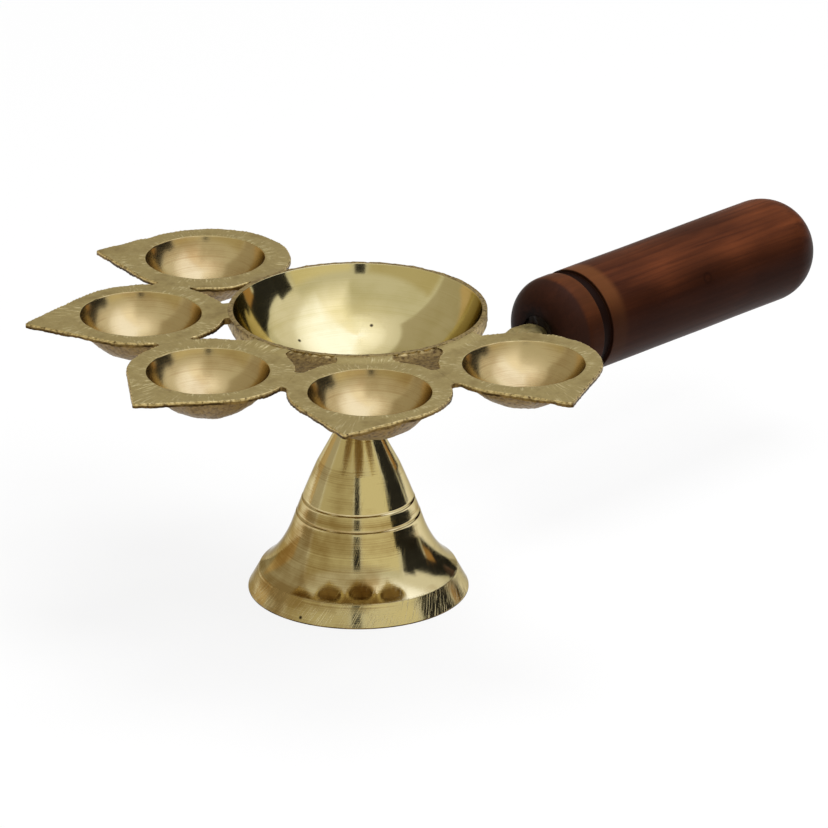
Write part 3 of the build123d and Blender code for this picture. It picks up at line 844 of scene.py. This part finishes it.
def lumpy_tang():
    """Tang round the handle's axis: a screw in the hub, then a rod that is lumpy and beaten flat on top
    where it nears the handle."""
    lac_front = lac_low[0]
    seat = hub_radius - spot_face_depth
    screw = threaded(tang_thread_radius, tang_low[0], seat)
    length = np.linspace(seat, tang_high[0], 260)
    rod = lathe(np.stack([np.full(len(length), tang_radius), length], -1), screw.shape[1])
    before_lac = 1 - smoothstep(length, lac_front - 2.5, lac_front - 0.6)
    bare = smoothstep(length, seat + 2, seat + 8) * before_lac
    near = smoothstep(length, lac_front - 25, lac_front - 13)[:, None]
    lumps = near * (1.3 + 0.3 * ripple(rod, wave=6))
    swell = 0.05 * ripple(rod, wave=5) + 0.02 * ripple(rod, wave=1.6) + lumps
    rod[..., :2] *= 1 + (bare[:, None] * swell / tang_radius)[..., None]
    narrowed_end = rod[-1:] * [0.85, 0.85, 1]
    rings = along_handle(np.vstack([screw, rod[:-1], narrowed_end]))
    beaten_flat = axis_z + tang_radius + 0.5 + 0.15 * ripple(rings, wave=4)
    rings[..., 2] = np.minimum(rings[..., 2], beaten_flat)
    return skin("lumpy_tang", rings, [plain_rod, filed], (0, len(screw)))


def turned_handle():
    """Wooden grip round the handle's axis: bored for the tang, a wider mouth for the lac, a rounded front,
    one groove with eased edges and a domed end."""
    front, end = handle_low[0], handle_high[0]
    bore, bore_end = tang_radius + thread_clearance, tang_high[0] + 0.5
    front_round = handle_radius - lac_radius - mouth_land
    end_round = handle_radius - end_flat
    quarter = np.linspace(0, np.pi / 2, 24)
    nose = np.stack([handle_radius - front_round * (1 - np.sin(quarter)),
                     front + front_round * (1 - np.cos(quarter))], -1)
    tail = np.stack([handle_radius - end_round * (1 - np.cos(quarter)),
                     end - end_round * (1 - np.sin(quarter))], -1)
    floor = handle_radius - groove_depth
    near, far = front + groove_setback + groove_width / 2 * np.array([-1, 1])
    mouth = (lac_radius, front + 1)
    bored = eased([(pole_radius, bore_end), (bore, bore_end), (bore, lac_high[0]), (lac_radius, lac_high[0]),
                   mouth], ease=0.2, count=30)
    body = eased([mouth, (lac_radius, front), nose, (handle_radius, near), (floor, near), (floor, far),
                  (handle_radius, far), tail, (pole_radius, end)], ease=0.45, count=200)
    rings = lathe(np.vstack([bored, body[1:]]), around=192)
    outer = smoothstep(np.hypot(rings[..., 0], rings[..., 1]), lac_radius + 2, lac_radius + 6)
    rings[..., :2] *= 1 + (0.0016 * outer * ripple(rings, wave=45))[..., None]
    return skin("turned_handle", along_handle(rings), [wood])


def lac_collar():
    """Lac filling: a ring from the tang to the wood whose front face swells and sinks in lumps."""
    radius = np.linspace(tang_radius + thread_clearance, lac_radius, 14)
    front = np.stack([radius, np.full(len(radius), lac_low[0])], -1)
    back = np.stack([radius[::-1], np.full(len(radius), lac_high[0])], -1)
    rings = lathe(np.vstack([front, back]), around=96)
    rings[: len(front), :, 2] += 0.35 * ripple(rings[: len(front), :, :2], wave=5) - 0.1
    return skin("lac_collar", along_handle(rings), [lac], loop=True)


stand_for(turned_bell(), "pedestal_bell")
stand_for(threaded_stud(), "pedestal_stud")
stand_for(polished_bowl(), "central_bowl")
for number in range(1, leaf_count + 1):
    stand_for(leaf_cup(number), f"leaf_cup_{number}")
stand_for(cast_web("cast_web_front", first_web), "web_front")
stand_for(cast_web("cast_web_side", first_web + 1), "web_side")
stand_for(lumpy_tang(), "handle_tang")
stand_for(turned_handle(), "wood_handle")
stand_for(lac_collar(), "lac_plug")


def seen_share(tree):
    """1 for rays from the camera, from gloss and through glass, and 0 for the soft light on surfaces."""
    seen = add(tree, "LightPath", out="Is Camera Ray")
    for other in ("Is Glossy Ray", "Is Transmission Ray"):
        ray = add(tree, "LightPath", out=other)
        seen = add(tree, "Math", {0: seen, 1: ray}, operation="MAXIMUM")
    return seen


def studio_floor():
    """Wide white floor that the lamp stands on. It shows near white and keeps part of its shading, so that
    the object's soft shadow stays."""
    reach, sink = 6.0, 0.1 * MM
    white_share = 0.88
    made, tree, shader = finish_named("studio_paper", Base_Color=colour("#E4E4E4"), Roughness=0.9,
                                      Specular_IOR_Level=0.0)
    glow = add(tree, "Emission", {"Color": colour("#FFFFFF")})
    share = add(tree, "Math", {0: seen_share(tree), 1: white_share}, operation="MULTIPLY")
    both = add(tree, "MixShader", {0: share, 1: shader.outputs["BSDF"], 2: glow})
    tree.links.new(both, tree.nodes["Material Output"].inputs["Surface"])
    corners = [(reach * x, reach * y, -sink) for x, y in ((-1, -1), (1, -1), (1, 1), (-1, 1))]
    mesh = bpy.data.meshes.new("studio_floor")
    mesh.from_pydata(corners, [], [(0, 1, 2, 3)])
    mesh.materials.append(made)
    floor = bpy.data.objects.new("studio_floor", mesh)
    bpy.context.scene.collection.objects.link(floor)


def toward(bearing, elevation):
    """Direction from the object by bearing, counted from the camera's side to its right, and elevation."""
    turn, rise = np.radians(bearing), np.radians(elevation)
    flat = np.sin(turn)[..., None] * to_right - np.cos(turn)[..., None] * to_back
    return np.cos(rise)[..., None] * flat + np.sin(rise)[..., None] * upward


def studio_card(name, sides, heights, level, soft=1.5, distance=1.4):
    """Curved card that only gloss sees: part of a round wall between two bearings, at a distance in metres.
    Heights are the elevations of its foot and of its top at either side. It glows as level says and fades
    out over soft degrees at its border."""
    cells = 24
    wide = sides[1] - sides[0]
    inset = soft / wide
    across = np.concatenate([[0], np.linspace(inset, 1 - inset, cells), [1]])[:, None]
    tall = heights[1] - heights[0] + across * (heights[2] - heights[1])
    inset = soft / tall
    up = np.hstack([0 * inset, inset + (1 - 2 * inset) * np.linspace(0, 1, cells), 0 * inset + 1])
    points = distance * toward(sides[0] + wide * across + 0 * up, heights[0] + tall * up)
    index = np.arange((cells + 2) ** 2).reshape(cells + 2, cells + 2)
    quads = np.stack([index[:-1, :-1], index[1:, :-1], index[1:, 1:], index[:-1, 1:]], -1).reshape(-1, 4)
    mesh = bpy.data.meshes.new(name)
    mesh.from_pydata(points.reshape(-1, 3).tolist(), [], quads.tolist())
    solid = np.pad(np.ones((cells, cells)), 1).astype(np.float32)
    mesh.attributes.new("solid", "FLOAT", "POINT").data.foreach_set("value", solid.ravel())
    made = bpy.data.materials.new(name)
    made.use_nodes = True
    tree = made.node_tree
    glow = add(tree, "Emission", {"Color": (*level, 1.0)})
    clear = add(tree, "BsdfTransparent")
    share = add(tree, "Attribute", attribute_name="solid", out="Fac")
    both = add(tree, "MixShader", {0: share, 1: clear, 2: glow})
    tree.links.new(both, tree.nodes["Material Output"].inputs["Surface"])
    mesh.materials.append(made)
    card = bpy.data.objects.new(name, mesh)
    bpy.context.scene.collection.objects.link(card)
    for ray in ("camera", "diffuse", "shadow", "transmission", "volume_scatter"):
        setattr(card, "visible_" + ray, False)


def studio_lamp(name, bearing, elevation, distance, size, power):
    """Soft square lamp aimed at the bowl, unseen by gloss: distance and size in metres, power in watts."""
    way = toward(np.array(bearing), np.array(elevation))
    light = bpy.data.lights.new(name, "AREA")
    light.size = size
    light.energy = power
    lamp = bpy.data.objects.new(name, light)
    lamp.location = Vector(way * distance) + Vector((0, 0, leaf_z * MM))
    lamp.rotation_euler = Vector(way).to_track_quat("Z", "Y").to_euler()
    lamp.visible_glossy = False
    bpy.context.scene.collection.objects.link(lamp)


def studio_world(fill):
    """White surroundings for what the camera and gloss see, and a softer even fill for the rest."""
    world = bpy.data.worlds.new("studio_surround")
    bpy.context.scene.world = world
    world.use_nodes = True
    tree = world.node_tree
    level = add(tree, "MapRange", {"Value": seen_share(tree), "To Min": fill})
    background = tree.nodes["Background"]
    background.inputs["Color"].default_value = colour("#FFFFFF")
    tree.links.new(level, background.inputs["Strength"])


studio_floor()
studio_world(fill=0.3)
studio_lamp("key_lamp", bearing=50, elevation=55, distance=1.6, size=0.9, power=18)
studio_lamp("top_lamp", bearing=150, elevation=75, distance=1.5, size=0.8, power=18)

# The room that the metal mirrors: its walls, its windows, and dark and warm things at its sides
studio_card("room", (-184, 184), (-8, 94, 94), (0.62, 0.62, 0.54), distance=1.6)
studio_card("ceiling", (-205, 205), (52, 115, 115), (0.88, 0.88, 0.86), soft=22, distance=1.55)
studio_card("back_wall", (146, 214), (-8, 50, 50), (0.45, 0.42, 0.36), soft=5)
studio_card("left_panel", (-155, -86), (-8, 62, 62), (0.43, 0.40, 0.31), soft=2.5)
studio_card("front_left_low", (-86, -8), (-8, 38, 38), (0.50, 0.46, 0.30), soft=5)
studio_card("front_right_low", (4, 70), (-8, 36, 36), (0.70, 0.66, 0.46), soft=5)
studio_card("skylight", (-205, 205), (70, 110, 110), (1.20, 1.24, 1.34), soft=14, distance=1.46)
studio_card("window", (8, 182), (38, 100, 100), (1.24, 1.26, 1.32), soft=22, distance=1.45)
studio_card("window_sky", (50, 186), (42, 100, 100), (1.34, 1.46, 1.85), soft=22, distance=1.44)
studio_card("window_low", (66, 140), (24, 50, 50), (0.78, 0.78, 0.74), soft=8, distance=1.42)
studio_card("stand", (-8, 4), (14, 37, 37), (0.03, 0.03, 0.03))
for name, sides, heights in (
    ("near", (72, 91), (-20, 34, 34)),
    ("low", (64, 74), (-20, 16, 16)),
    ("middle", (90, 114.5), (-20, 29, 28)),
    ("far", (117.5, 154), (-20, 28.5, 20)),
    ("bridge", (113, 119), (12, 28.4, 28.4)),
):
    studio_card("dark_side_" + name, sides, heights, (0.02, 0.02, 0.02), soft=0.7, distance=1.35)
studio_card("warm_right", (116, 130), (4, 14.5, 13), (0.38, 0.22, 0.08), distance=1.3)
studio_card("warm_left", (-146, -109), (-6, 22, 15), (0.54, 0.42, 0.24), soft=4, distance=1.3)

lens = bpy.data.cameras.new("photo_lens")
lens.sensor_width = 36.0
lens.lens = lens.sensor_width * focal_px / photo_side
camera = bpy.data.objects.new("photo_camera", lens)
away = toward(np.array(0.0), np.array(camera_elevation))
aim = (aim_right * to_right + aim_up * upward) * MM
camera.location = Vector(aim + away * camera_distance * MM)
camera.rotation_euler = Vector(away).to_track_quat("Z", "Y").to_euler()
bpy.context.scene.collection.objects.link(camera)
bpy.context.scene.camera = camera
bpy.context.scene.view_settings.view_transform = "Standard"
